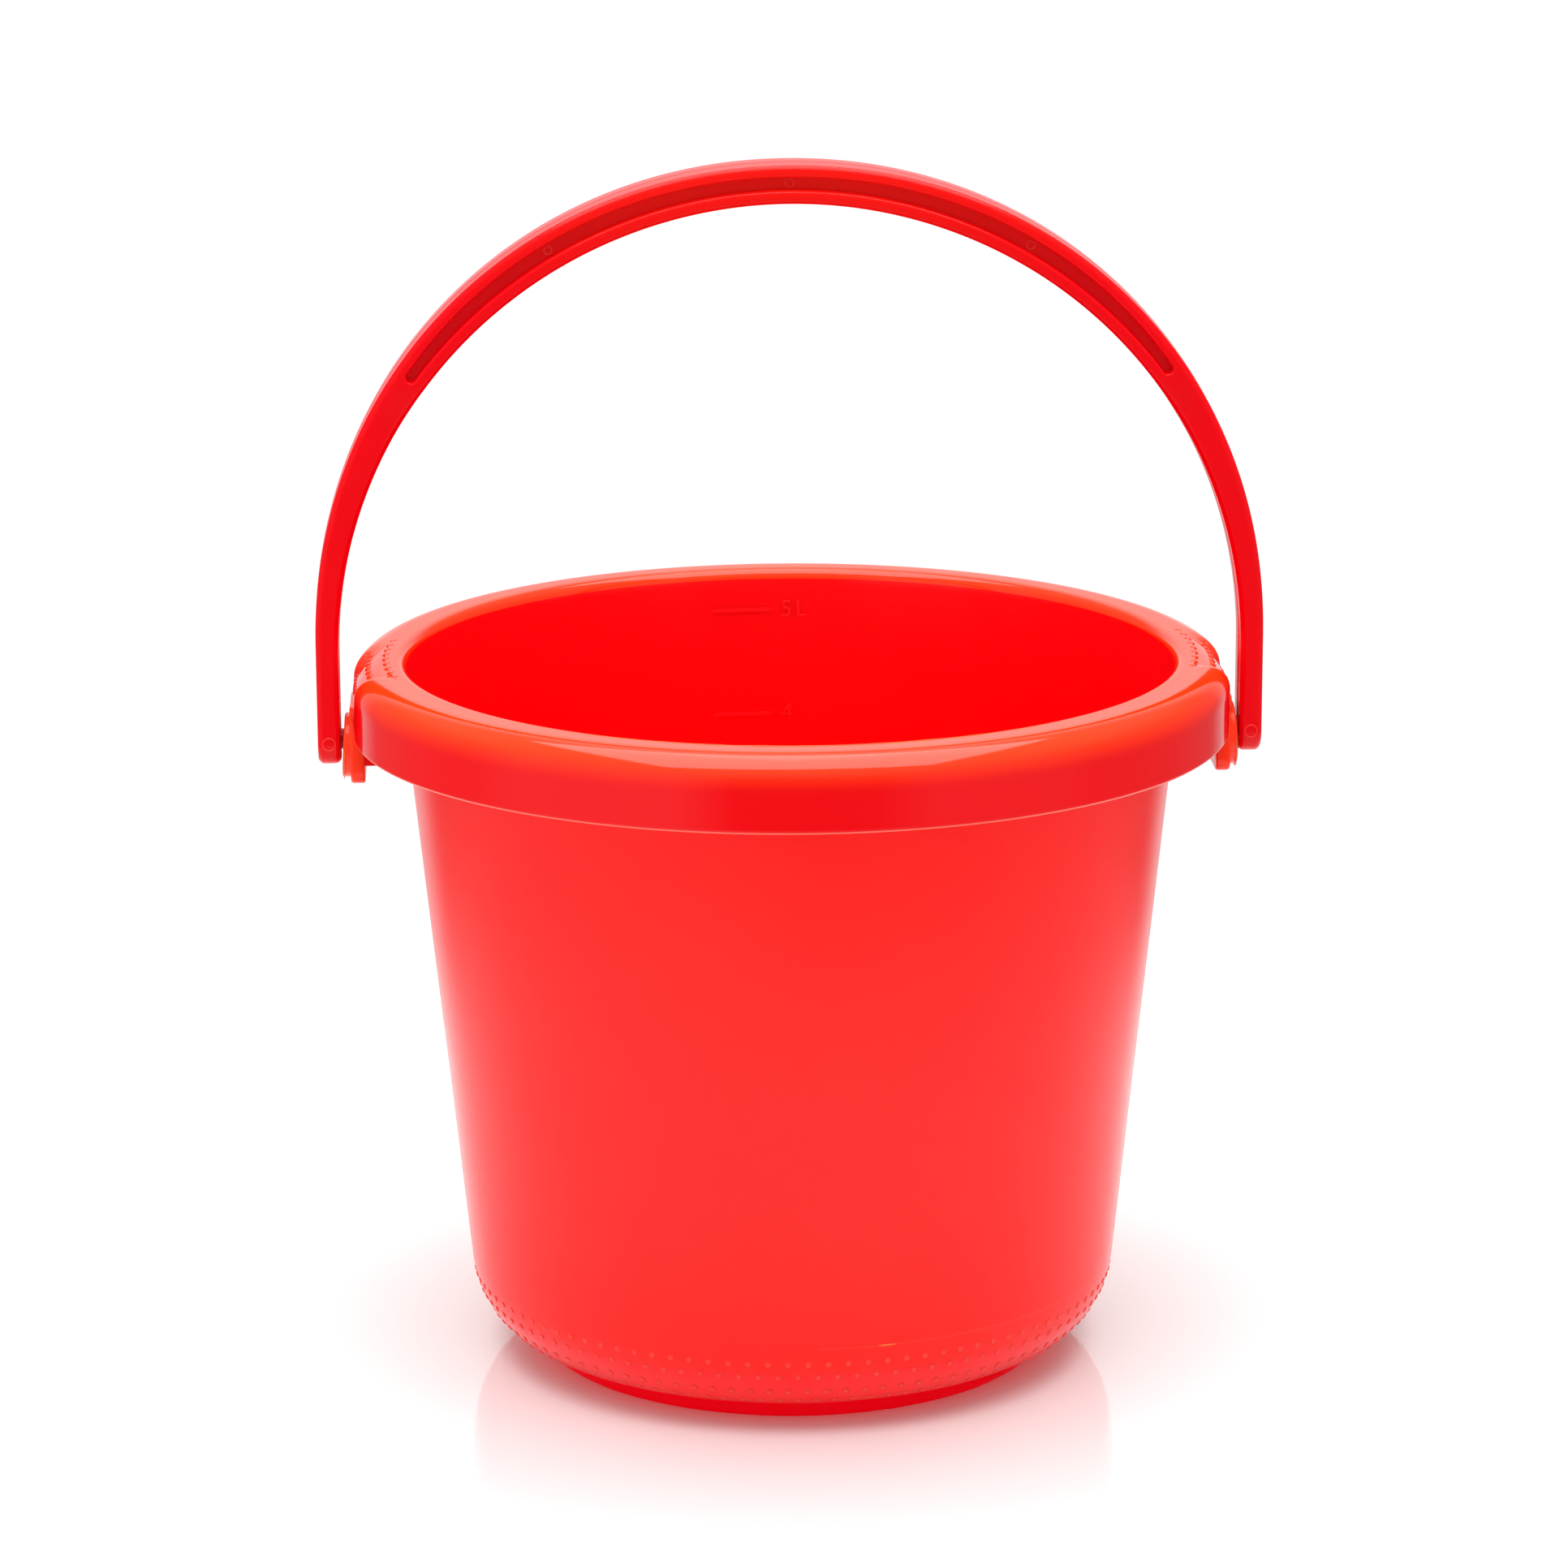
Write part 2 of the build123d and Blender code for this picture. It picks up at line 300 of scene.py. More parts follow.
plain = shell_outline(False)
eased = shell_outline(True)
azimuths = np.linspace(0, 360, SHELL_STEPS, endpoint=False)
away = [min(abs((a - side + 180) % 360 - 180) for side in THUMB_REST_SIDES) for a in azimuths]
into = thumb_rest_half(plain[:, 1])[:, None] - np.array(away)[None, :]
shares = ease(into / THUMB_REST_SHOULDER)
section = plain[:, None, :] + (eased - plain)[:, None, :] * shares[:, :, None]
turn = np.radians(azimuths)[None, :]
for ring in section:
    low = 1 - ring[0, 1] / underside
    if low > 0 and ring[0, 0] > foot_high.x - 2 * FOOT_WIDTH:
        for place, azimuth in zip(ring, np.radians(azimuths)):
            spot = Vector((math.cos(azimuth) * 6, math.sin(azimuth) * 6, 0.4))
            place[0] += FOOT_RIPPLE * low * noise.noise(spot)
shell_grid = np.stack(
    [section[..., 0] * np.cos(turn), section[..., 0] * np.sin(turn), section[..., 1]], axis=-1
)
shell = skin("pail_shell", shell_grid, caps=True)

wall_red = moulded("wall_red", [(0.86, 0.004, 0.002), (0.9, 0.007, 0.003)], 0.2, glow=1.0, gloss=0.3)
# Painted light: the studs get a lighter, more orange red than the wall, in place of light soaking into
# the plastic.
stud_painted_light_red = moulded("stud_painted_light_red", [(0.95, 0.03, 0.018), (0.98, 0.045, 0.024)], 0.2, gloss=0.3)
foot_painted_glow_red = moulded(
    "foot_painted_glow_red", [(0.98, 0.0003, 0.006), (1.0, 0.0006, 0.009)], 0.3, glow=1.0, gloss=0.15, reach=2.0,
)
# Painted glow: the foot ring gets a brighter red and a faint red emission, in place of light that soaks
# into the wall, travels down inside it and comes out at the foot ring.
foot_glow_shader = foot_painted_glow_red.node_tree.nodes["Principled BSDF"]
foot_glow_shader.inputs["Emission Color"].default_value = (1.0, 0.0, 0.01, 1)
foot_glow_shader.inputs["Emission Strength"].default_value = FOOT_PAINTED_GLOW
bore_red = moulded("bore_red", [(0.9, 0.0003, 0.0035), (0.94, 0.0007, 0.0045)], 0.2, glow=1.0)
# The rim's top 10 mm turns a lighter orange-red: a painted highlight where the overhead light falls on
# the rim's top.
rim_red_and_painted_highlight = moulded(
    "rim_red_and_painted_highlight", [(0.8, 0.0006, 0.003), (0.84, 0.0012, 0.004)], 0.085, sink=0.7, gloss=0.42,
    top=([(0.88, 0.034, 0.003), (0.92, 0.045, 0.004)], rim_top - 10 * MM, rim_top - 2 * MM),
)
# Painted highlight: a lighter orange-red for the lip's rounded lower edge, in place of the white floor
# reflected there.
lip_painted_highlight_red = moulded("lip_painted_highlight_red", [(0.93, 0.1, 0.07), (0.97, 0.14, 0.09)], 0.25)
for red in (wall_red, bore_red, rim_red_and_painted_highlight, lip_painted_highlight_red, foot_painted_glow_red):
    shell.data.materials.append(red)
for face in shell.data.polygons:
    middle = face.center
    outward = math.hypot(middle.x, middle.y) - wall_radius(middle.z)
    if middle.z > lip and outward > MM or middle.z > rim_top - MOUTH_CORNER:
        face.material_index = 2
        from_axis = outward + wall_radius(middle.z)
        # A thin band along the lip's lower outside edge gets the painted highlight.
        if middle.z < lip + LIP_HIGHLIGHT_TALL and from_axis > rim_radius - LIP_HIGHLIGHT_WIDE:
            face.material_index = 3
    elif outward < -MM and middle.z > floor_top - 0.1 * MM:
        face.material_index = 1
    # Faces below this height get the painted glow of the foot ring.
    elif middle.z < FOOT_GLOW_TOP:
        face.material_index = 4
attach(shell, "pail")
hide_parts("pail_wall", "pail_floor", "foot_ring", "rim", "skirt")

# ------------------------------------------------------------------------------------------------
# Grip studs. Small raised domes from drill points in the mould: four rows round the bottom corner
# for tipping the pail, and four short rows on each thumb rest.
# ------------------------------------------------------------------------------------------------
BASE_STUD = (0.9 * MM, 0.3 * MM)
THUMB_STUD = (1.1 * MM, 0.5 * MM)
BASE_ROWS = (21.6 * MM, 17.6 * MM, 12.6 * MM, 9.0 * MM)
BASE_ROW_COUNT = 104
THUMB_ROW_COUNT = 9
THUMB_ROWS = ((76.5, 2.84), (50.0, 2.35), (18.5, 2.0))
THUMB_LAST_ROW = 181.0 * MM
THUMB_LAST_PITCH = 1.1


def stud(point, outward, radius, rise):
    """Vertices and faces of one closed dome that is sunk a little into the surface."""
    outward = Vector(outward).normalized()
    side = outward.orthogonal().normalized()
    across = outward.cross(side)
    rings = ((1.05, -0.5), (1.0, 0.0), (0.93, 0.42), (0.72, 0.78), (0.38, 0.96))
    count = 12
    points = []
    for reach, lift in rings:
        for step in range(count):
            a = math.tau * step / count
            away = (side * math.cos(a) + across * math.sin(a)) * radius * reach
            points.append(Vector(point) + away + outward * rise * lift)
    points.append(Vector(point) + outward * rise)
    faces = [list(range(count))[::-1]]
    for ring in range(len(rings) - 1):
        for step in range(count):
            after = (step + 1) % count
            low, high = ring * count, (ring + 1) * count
            faces.append([low + step, low + after, high + after, high + step])
    crown = (len(rings) - 1) * count
    for step in range(count):
        faces.append([crown + step, crown + (step + 1) % count, len(points) - 1])
    return points, faces


def studded(name, places, size):
    """One mesh of domes of one (radius, rise) size at (point, outward) places."""
    points, faces = [], []
    for point, outward in places:
        more, sides = stud(point, outward, *size)
        faces += [[index + len(points) for index in side] for side in sides]
        points += more
    mesh = bpy.data.meshes.new(name)
    mesh.from_pydata([tuple(point) for point in points], [], faces)
    return close_up(name, mesh, sharp=70)


def swung(radial, height, azimuth):
    """Point at a radius and height, azimuth in degrees."""
    a = math.radians(azimuth)
    return Vector((radial * math.cos(a), radial * math.sin(a), height))


base_places = []
corner_depth = BASE_CORNER_TOP - underside
for row, height in enumerate(BASE_ROWS):
    share = (BASE_CORNER_TOP - height) / corner_depth
    here = math.degrees(math.asin(share ** (BASE_CORNER_POWER / 2)))
    radial, level = base_corner(here, underside, 0)
    before = base_corner(here + 1, underside, 0)
    after = base_corner(here - 1, underside, 0)
    slope = (after[0] - before[0], after[1] - before[1])
    for step in range(BASE_ROW_COUNT):
        azimuth = 360 * (step + 0.5 * (row % 2)) / BASE_ROW_COUNT
        base_places.append((swung(radial, level, azimuth), swung(slope[1], -slope[0], azimuth)))
base_studs = studded("base_studs", base_places, BASE_STUD)
base_studs.data.materials.append(stud_painted_light_red)
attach(base_studs, "pail")

thumb_places = []
rest_edge = rim_radius - THUMB_REST_SETBACK
for side in THUMB_REST_SIDES:
    for step in range(THUMB_ROW_COUNT):
        along = step - (THUMB_ROW_COUNT - 1) / 2
        for lift, pitch in THUMB_ROWS:
            a = math.radians(lift)
            azimuth = side + along * pitch
            radial = rest_edge - THUMB_REST_CORNER * (1 - math.cos(a))
            height = rim_top - THUMB_REST_CORNER * (1 - math.sin(a))
            outward = swung(math.cos(a), math.sin(a), azimuth)
            thumb_places.append((swung(radial, height, azimuth), outward))
        azimuth = side + along * THUMB_LAST_PITCH
        outward = swung(1, 0, azimuth)
        thumb_places.append((swung(rest_edge + 0.15 * MM, THUMB_LAST_ROW, azimuth), outward))
thumb_studs = studded("thumb_rest_studs", thumb_places, THUMB_STUD)
thumb_studs.data.materials.append(rim_red_and_painted_highlight)
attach(thumb_studs, "pail")

# ------------------------------------------------------------------------------------------------
# Mouth flash. The two mould halves meet just outside the opening, and a hair of plastic squeezes
# out between them along the front. Its bright yellow-orange is a painted glow of light through the thin
# film.
# ------------------------------------------------------------------------------------------------
FLASH_RADIUS = 108.15 * MM
FLASH_WIDTH = 0.2 * MM
FLASH_RISE = 0.12 * MM
FLASH_FRONT = 272

flash_rows = [[] for _ in range(6)]
for azimuth in azimuths:
    a = math.radians(azimuth)
    ragged = noise.fractal(Vector((math.cos(a) * 14, math.sin(a) * 14, 3.1)), 1.0, 2.0, 3)
    left = 0.05 + 0.95 * math.exp(-((((azimuth - FLASH_FRONT + 180) % 360 - 180) / 34) ** 2))
    rise = FLASH_RISE * (1 + 0.8 * ragged) * left
    half = FLASH_WIDTH * (0.8 + 0.5 * ragged) * (0.3 + 0.7 * left) / 2
    outline = ((-half, -0.5), (half, -0.5), (half, 0.5), (half * 0.5, 1.0), (-half * 0.5, 1.0))
    outline += ((-half, 0.5),)
    for row, (reach, lift) in zip(flash_rows, outline):
        row.append(swung(FLASH_RADIUS + reach, rim_top + rise * lift, azimuth))
mouth_flash = skin("mouth_flash", np.array(flash_rows), wrap=True, sharp=80)
flash_painted_glow_orange = moulded("flash_painted_glow_orange", [(0.95, 0.07, 0.01), (1.0, 0.2, 0.03)], 0.25, glow=0.4)
mouth_flash.data.materials.append(flash_painted_glow_orange)
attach(mouth_flash, "pail")

# ------------------------------------------------------------------------------------------------
# Mould line. Where the base plate of the mould meets the side wall a faint hair of flash is left,
# worn away except along the front right.
# ------------------------------------------------------------------------------------------------
MOULD_LINE_HEIGHT = 26.3 * MM
MOULD_LINE_START = -88
MOULD_LINE_END = 4
MOULD_LINE_STEPS = 420
MOULD_LINE_HALF = 0.11 * MM
MOULD_LINE_TAG = 76.4

line_grid = []
for step in range(MOULD_LINE_STEPS):
    azimuth = MOULD_LINE_START + (MOULD_LINE_END - MOULD_LINE_START) * step / (MOULD_LINE_STEPS - 1)
    ragged = noise.fractal(Vector((azimuth * 0.11, 2.3, 5.1)), 1.0, 2.0, 3)
    start = math.exp(-(((azimuth + MOULD_LINE_TAG) / 1.3) ** 4))
    rise = (0.006 + 0.05 * max(ragged - 0.1, 0) + 0.22 * start) * MM
    ring = []
    for up, out in ((-1, -0.5), (-0.6, 0.6), (0, 1), (0.6, 0.6), (1, -0.5)):
        level = MOULD_LINE_HEIGHT + up * MOULD_LINE_HALF * (1 + 1.5 * start)
        ring.append(swung(wall_radius(level) + rise * out, level, azimuth))
    line_grid.append(ring)
line_red = moulded("line_red", [(0.9, 0.02, 0.01), (0.93, 0.04, 0.02)], 0.25)
mould_line = skin("mould_line", np.array(line_grid), caps=True, sharp=80)
mould_line.data.materials.append(line_red)
mould_line.data.materials.append(flash_painted_glow_orange)
# A short dash at the line's start gets the flash's painted glow orange.
for face in mould_line.data.polygons:
    azimuth = math.degrees(math.atan2(face.center.y, face.center.x))
    if abs(azimuth + MOULD_LINE_TAG) < 1.5:
        face.material_index = 1
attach(mould_line, "pail")

# ------------------------------------------------------------------------------------------------
# Ears. A flat lug hangs from the rim on each side, with a round boss on its outer face and the hole
# that the bail's pin snaps into. The boss thickens downwards as a ramp that spreads the arm. Lug
# and boss are thin enough to let some light through.
# ------------------------------------------------------------------------------------------------
pivot = Vector(frame["joints"][0]["pos_m"])
ear_low, ear_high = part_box("ear_right")
LUG_THICKNESS = 3.9 * MM
LUG_CORNER = 4.0 * MM
LUG_EDGE = 0.8 * MM
BOSS_RADIUS = 8.8 * MM
BOSS_THIN = 1.5 * MM
BOSS_THICK = ear_high.x - ear_low.x - LUG_THICKNESS
BOSS_DROP = 1.7 * MM
BOSS_EDGE = 0.5 * MM
HOLE_RADIUS = 2.88 * MM
EAR_STEPS = 160
lug_face = ear_low.x + LUG_THICKNESS


def lug_reach(angle):
    """Distance from the pivot to the lug's outline; only the two lower corners are round."""
    along = Vector((math.cos(angle), math.sin(angle)))
    near, far = 0.0, 0.03
    for _ in range(40):
        reach = (near + far) / 2
        y = abs(along.x) * reach
        z = along.y * reach
        low = ear_low.z - pivot.z
        high = ear_high.z - pivot.z
        inside = y < ear_high.y and low < z < high
        into_corner = Vector((y - (ear_high.y - LUG_CORNER), (low + LUG_CORNER) - z))
        if into_corner.x > 0 and into_corner.y > 0 and into_corner.length > LUG_CORNER:
            inside = False
        near, far = (reach, far) if inside else (near, reach)
    return near


def boss_face(height):
    """How far out the boss's face is at this height above the pivot."""
    share = (BOSS_RADIUS - BOSS_DROP - height) / (2 * BOSS_RADIUS)
    return lug_face + BOSS_THIN + (BOSS_THICK - BOSS_THIN) * share


def boss_reach(angle, radius):
    """Distance from the pivot to a circle about the boss's middle, which is below the pivot."""
    up = math.sin(angle)
    return -BOSS_DROP * up + math.sqrt(radius**2 - BOSS_DROP**2 * (1 - up * up))


def ear_column(angle):
    """Ring of (x, distance) from the hole over boss and lug and back behind the lug."""
    reach = lug_reach(angle)
    up = math.sin(angle)
    column = [(ear_low.x, HOLE_RADIUS + 0.2 * MM), (ear_low.x + 0.2 * MM, HOLE_RADIUS)]
    column += [(boss_face(HOLE_RADIUS * up) - 0.35 * MM, HOLE_RADIUS)]
    for away in (HOLE_RADIUS + 0.35 * MM, 4.5 * MM, 6.5 * MM):
        column.append((boss_face(away * up), away))
    for a in np.radians((0, 30, 60, 90)):
        away = boss_reach(angle, BOSS_RADIUS - BOSS_EDGE * (1 - math.sin(a)))
        column.append((boss_face(away * up) - BOSS_EDGE * (1 - math.cos(a)), away))
    edge = boss_reach(angle, BOSS_RADIUS)
    column += [(lug_face + 0.25 * MM, edge), (lug_face, edge + 0.1 * MM)]
    for a in np.radians((0, 25, 50, 70, 90)):
        away = reach - LUG_EDGE * (1 - math.sin(a))
        column.append((lug_face - LUG_EDGE * (1 - math.cos(a)), max(away, edge + 0.15 * MM)))
    column += [(ear_low.x + 0.5 * MM, reach), (ear_low.x + 0.15 * MM, reach - 0.15 * MM)]
    column += [(ear_low.x, reach - 0.5 * MM), (ear_low.x, 6 * MM)]
    return column


# The lug's orange base colour is a painted glow, in place of light passing through the thin plastic. The
# small subsurface share is real light.
ear_painted_glow_orange = moulded("ear_painted_glow_orange", [(0.96, 0.02, 0.005), (1.0, 0.05, 0.008)], 0.16, glow=0.35, gloss=0.3)
for side, name in ((1, "right"), (-1, "left")):
    columns = []
    for step in range(EAR_STEPS):
        angle = math.tau * step / EAR_STEPS
        column = []
        for out, away in ear_column(angle):
            column.append((side * out, away * math.cos(angle), pivot.z + away * math.sin(angle)))
        columns.append(column)
    ear = skin("lug_" + name, np.array(columns).transpose(1, 0, 2), wrap=True, sharp=60)
    ear.data.materials.append(ear_painted_glow_orange)
    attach(ear, "pail")
    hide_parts("ear_" + name)

ribs = frame["nodes"]["ear_ribs"]
ribs.data.materials.clear()
ribs.data.materials.append(rim_red_and_painted_highlight)

# ------------------------------------------------------------------------------------------------
# Boss flash. The slide that forms each boss no longer shuts tight, so a ragged film of plastic
# hangs from the boss's lower edge. It is a few tenths of a millimetre thick; its bright orange is a
# painted glow.
# ------------------------------------------------------------------------------------------------
FILM_THICKNESS = 0.16 * MM
FILM_START = -168
FILM_END = -14
FILM_STEPS = 110
FILM_SETBACK = 0.5 * MM
FILM_CURL = 0.2 * MM

for side, name in ((1, "right"), (-1, "left")):
    grid = []
    for step in range(FILM_STEPS):
        share = step / (FILM_STEPS - 1)
        angle = math.radians(FILM_START + (FILM_END - FILM_START) * share)
        taper = math.sin(math.pi * share) ** 0.4
        ragged = noise.fractal(Vector((angle * 5.5, side * 4.2, 0.7)), 0.8, 2.1, 4)
        width = (0.45 + 0.75 * max(ragged, -0.4)) * taper * MM
        root = boss_reach(angle, BOSS_RADIUS - 0.3 * MM)
        face = boss_face(root * math.sin(angle)) - FILM_SETBACK
        curl = FILM_CURL * ragged * taper
        ring = []
        for away, out in (
            (root, face - FILM_THICKNESS),
            (root + 0.3 * MM + width, face - FILM_THICKNESS * 0.6 + curl),
            (root + 0.36 * MM + width, face + curl),
            (root + 0.3 * MM + width, face + FILM_THICKNESS * 0.6 + curl),
            (root, face + FILM_THICKNESS),
        ):
            ring.append((side * out, away * math.cos(angle), pivot.z + away * math.sin(angle)))
        grid.append(ring)
    film = skin("boss_flash_" + name, np.array(grid), caps=True, sharp=60)
    film.data.materials.append(flash_painted_glow_orange)
    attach(film, "pail")

# ------------------------------------------------------------------------------------------------
# Litre marks. Raised lines inside the back wall with their numbers beside them, cut into the core
# of the mould, so they are the same plastic as the wall and stand 0.4 mm proud of it.
# ------------------------------------------------------------------------------------------------
NUMBER_SIZE = 7.0 * MM
NUMBER_RISE = 0.4 * MM
NUMBER_START = 88.9
NUMBER_SPACING = 1.25
NUMBER_EDGE = 0.05 * MM
LEAST_LINE_GAP = 5 * MM
LITRE_NAMES = ("1", "2", "3", "4", "5L")

mark_red = moulded("mark_red", [(0.9, 0.003, 0.006), (0.94, 0.006, 0.009)], 0.2, gloss=0.3)
lines = frame["nodes"]["volume_marks"]
lines.data.materials.clear()
lines.data.materials.append(mark_red)


def litre_heights():
    """Middle height of each line, read from the CAD lines themselves."""
    levels = sorted({round(vertex.co.z, 4) for vertex in lines.data.vertices})
    groups = [[levels[0]]]
    for level in levels[1:]:
        if level - groups[-1][-1] > LEAST_LINE_GAP:
            groups.append([])
        groups[-1].append(level)
    return [(group[0] + group[-1]) / 2 for group in groups]


for text, height in zip(LITRE_NAMES, litre_heights()):
    letters = bpy.data.curves.new("number_" + text, "FONT")
    letters.body = text
    letters.size = NUMBER_SIZE
    letters.align_y = "CENTER"
    letters.extrude = NUMBER_RISE
    letters.space_character = NUMBER_SPACING
    letters.bevel_depth = NUMBER_EDGE
    flat = bpy.data.objects.new("flat_" + text, letters)
    bpy.context.scene.collection.objects.link(flat)
    bpy.context.view_layer.update()
    settled = flat.evaluated_get(bpy.context.evaluated_depsgraph_get())
    mesh = bpy.data.meshes.new_from_object(settled)
    bpy.data.objects.remove(flat)
    for vertex in mesh.vertices:
        level = height + vertex.co.y
        bore = wall_radius(level) - SHELL
        azimuth = NUMBER_START - math.degrees(vertex.co.x / bore)
        vertex.co = swung(bore - vertex.co.z, level, azimuth)
    number = close_up("litre_number_" + text, mesh, sharp=40)
    number.data.materials.append(mark_red)
    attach(number, "pail")

# ------------------------------------------------------------------------------------------------
# Bail. One injection moulding in the same plastic, a little duller than the pail. The arch is an
# I-shaped bar with a groove in its front and back where the fingers go; below the grooves it
# narrows into two flat arms with round ends. Two fine mould lines run along its edges.
# ------------------------------------------------------------------------------------------------
grip_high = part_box("grip")[1]
arm_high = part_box("arm_right")[1]
arm_inner = 122.9 * MM
ARM_HALF_DEPTH = arm_high.y
GRIP_HALF_DEPTH = grip_high.y
ARM_EDGE = 1.7 * MM
GRIP_OUTER_EDGE = 1.7 * MM
GRIP_INNER_EDGE = 1.2 * MM
FAN_CENTRE = 200 * MM
OUTER_CENTRE = 199.7 * MM
OUTER_POWER = 2.05
INNER_CENTRE = 196.7 * MM
GRIP_FULL = 52.0
GRIP_GONE = 63.0
GROOVE_END = 54.0
GROOVE_DEPTH = 3.0 * MM
OUTER_FLANGE = 2.5 * MM
INNER_FLANGE = 2.8 * MM
GROOVE_LIP = 0.8 * MM
GROOVE_STEPS = (0, 0.2, 0.4, 0.55, 0.68, 0.76, 0.8, 0.86, 0.94, 1.04)
GROOVE_FOOT = 1.04 * MM
BAIL_LINE_GAP = 0.32 * MM
BAIL_LINE_RISE = 0.09 * MM


def outer_reach(lean):
    """Distance from the fan centre to the bail's outside, lean in degrees from straight up."""
    a = math.radians(lean)
    across, up = abs(math.sin(a)), math.cos(a)
    wide, tall = arm_high.x, grip_high.z - OUTER_CENTRE
    near, far = 0.0, 0.2
    for _ in range(40):
        reach = (near + far) / 2
        x = across * reach / wide
        z = abs(FAN_CENTRE + up * reach - OUTER_CENTRE) / tall
        near, far = (reach, far) if x**OUTER_POWER + z**OUTER_POWER < 1 else (near, reach)
    return near


def inner_reach(lean):
    """Distance from the fan centre to the round inside of the bail."""
    a = math.radians(lean)
    drop = FAN_CENTRE - INNER_CENTRE
    along = drop * math.cos(a)
    return -along + math.sqrt(along * along + arm_inner**2 - drop * drop)


def bail_stations():
    """(kind, height or lean, distance below the pivot) of each section from a foot to the top."""
    heights = pivot.z - ARM_HALF_DEPTH * np.cos(np.radians(np.linspace(0, 90, 16)))
    heights = np.concatenate([heights, np.linspace(pivot.z, FAN_CENTRE, 14)[1:-1]])
    feet = [(height, max(pivot.z - height, 0)) for height in heights]
    leans = np.concatenate([
        np.linspace(90, GROOVE_END + 2.4, 34),
        np.linspace(GROOVE_END + 2.3, GROOVE_END - 1.2, 46),
        np.linspace(GROOVE_END - 1.6, 0, 66),
    ])
    half = [("foot", height, below) for height, below in feet]
    half += [("arch", lean, 0.0) for lean in leans]
    return half


def bail_point(kind, value, reach, side):
    """Point in the bail's plane at this reach from the fan centre, on one side."""
    if kind == "foot":
        across, up = reach, value
    else:
        a = math.radians(value)
        across, up = reach * math.sin(a), FAN_CENTRE + reach * math.cos(a)
    return side * across, up


def groove_depth(along, up, bottom, top):
    """Depth of the groove at a place on the face; its ends are round."""
    middle = (bottom + top) / 2
    half = (top - bottom) / 2
    if along > 0:
        into = half - math.hypot(along, up - middle)
    else:
        into = half - abs(up - middle)
    if into <= 0:
        return 0.0
    if into < GROOVE_LIP:
        return GROOVE_LIP - math.sqrt(GROOVE_LIP**2 - into**2)
    fallen = float(ease((into - GROOVE_LIP) / (GROOVE_FOOT - GROOVE_LIP)))
    return GROOVE_LIP + (GROOVE_DEPTH - GROOVE_LIP) * fallen


def rounded_in(edge, from_side):
    """How far a rounded edge has fallen back, at a distance in from the side face."""
    if from_side >= edge:
        return 0.0
    return edge - math.sqrt(max(edge * edge - (edge - from_side) ** 2, 0))


def bail_section(kind, value, below):
    """Loop of (reach, y) round one section."""
    if kind == "foot":
        inner, outer = arm_inner, arm_high.x
        deep = 0.0
        along = 1.0
    else:
        inner, outer = inner_reach(value), outer_reach(value)
        deep = float(ease((GRIP_GONE - value) / (GRIP_GONE - GRIP_FULL)))
        along = math.radians(value - GROOVE_END) * (inner + outer) / 2
    half = ARM_HALF_DEPTH + (GRIP_HALF_DEPTH - ARM_HALF_DEPTH) * deep
    outer_edge = ARM_EDGE + (GRIP_OUTER_EDGE - ARM_EDGE) * deep
    inner_edge = ARM_EDGE + (GRIP_INNER_EDGE - ARM_EDGE) * deep
    width = math.sqrt(max(half * half - below * below, 0))
    shrink = width / half

    def crossing(edge, base, outward):
        """Points from one side face over the outer or inner surface to the other face."""
        turns = np.sin(np.radians(np.linspace(90, 0, 8)))
        spots = [half - edge * (1 - share) for share in turns]
        spots += [2.0 * BAIL_LINE_GAP, 1.3 * BAIL_LINE_GAP, BAIL_LINE_GAP, 0.6 * BAIL_LINE_GAP, 0.0]
        spots = spots + [-spot for spot in spots[-2::-1]]
        made = []
        for spot in spots:
            y = spot * shrink
            fallen = rounded_in(edge, half - math.hypot(y, below))
            line = BAIL_LINE_RISE * math.exp(-(((abs(spot) - BAIL_LINE_GAP) / (0.12 * MM)) ** 2))
            made.append((base + outward * (line - fallen), y))
        return made

    def face(side):
        """Points down one side face from the outer edge to the inner edge, through the groove."""
        top = outer - OUTER_FLANGE
        bottom = inner + INNER_FLANGE * (0.75 + 0.25 * deep)
        room = min(1, 0.44 * (top - bottom) / GROOVE_FOOT)
        fine = room * MM * np.array(GROOVE_STEPS)
        middle = np.linspace(top - fine[-1], bottom + fine[-1], 14)[1:-1]
        levels = [*(top - fine), *middle, *(bottom + fine[::-1])]
        levels += [bottom - 0.3 * (bottom - inner - inner_edge)]
        made = []
        for level in levels:
            depth = groove_depth(along, level, bottom, top) if deep > 0 else 0.0
            made.append((level, side * (width - depth)))
        return made

    over = crossing(outer_edge, outer, 1)
    under = crossing(inner_edge, inner, -1)
    front = face(-1)
    back = face(1)
    return over + front + under[::-1] + back[::-1]


bail_rows = []
half_stations = bail_stations()
for side in (1, -1):
    chosen = half_stations if side == 1 else half_stations[-2::-1]
    for kind, value, below in chosen:
        row = []
        for reach, y in bail_section(kind, value, below):
            x, z = bail_point(kind, value, reach, side)
            row.append((x, y, z))
        bail_rows.append(row)
bail = skin("bail", np.array(bail_rows), caps=False, sharp=55)
# The top 40 mm of the arch turns a lighter orange-red: a painted highlight where the overhead light
# falls on the grip's top.
bail_red_and_painted_highlight = moulded(
    "bail_red_and_painted_highlight", [(0.72, 0.0001, 0.004), (0.76, 0.0004, 0.005)], 0.17, sink=0.6, glow=0.3, gloss=0.2,
    top=([(0.76, 0.004, 0.003), (0.8, 0.007, 0.004)], grip_high.z - 40 * MM, grip_high.z - 2 * MM),
)
bail.data.materials.append(bail_red_and_painted_highlight)
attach(bail, "handle")
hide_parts("grip", "arm_left", "arm_right")

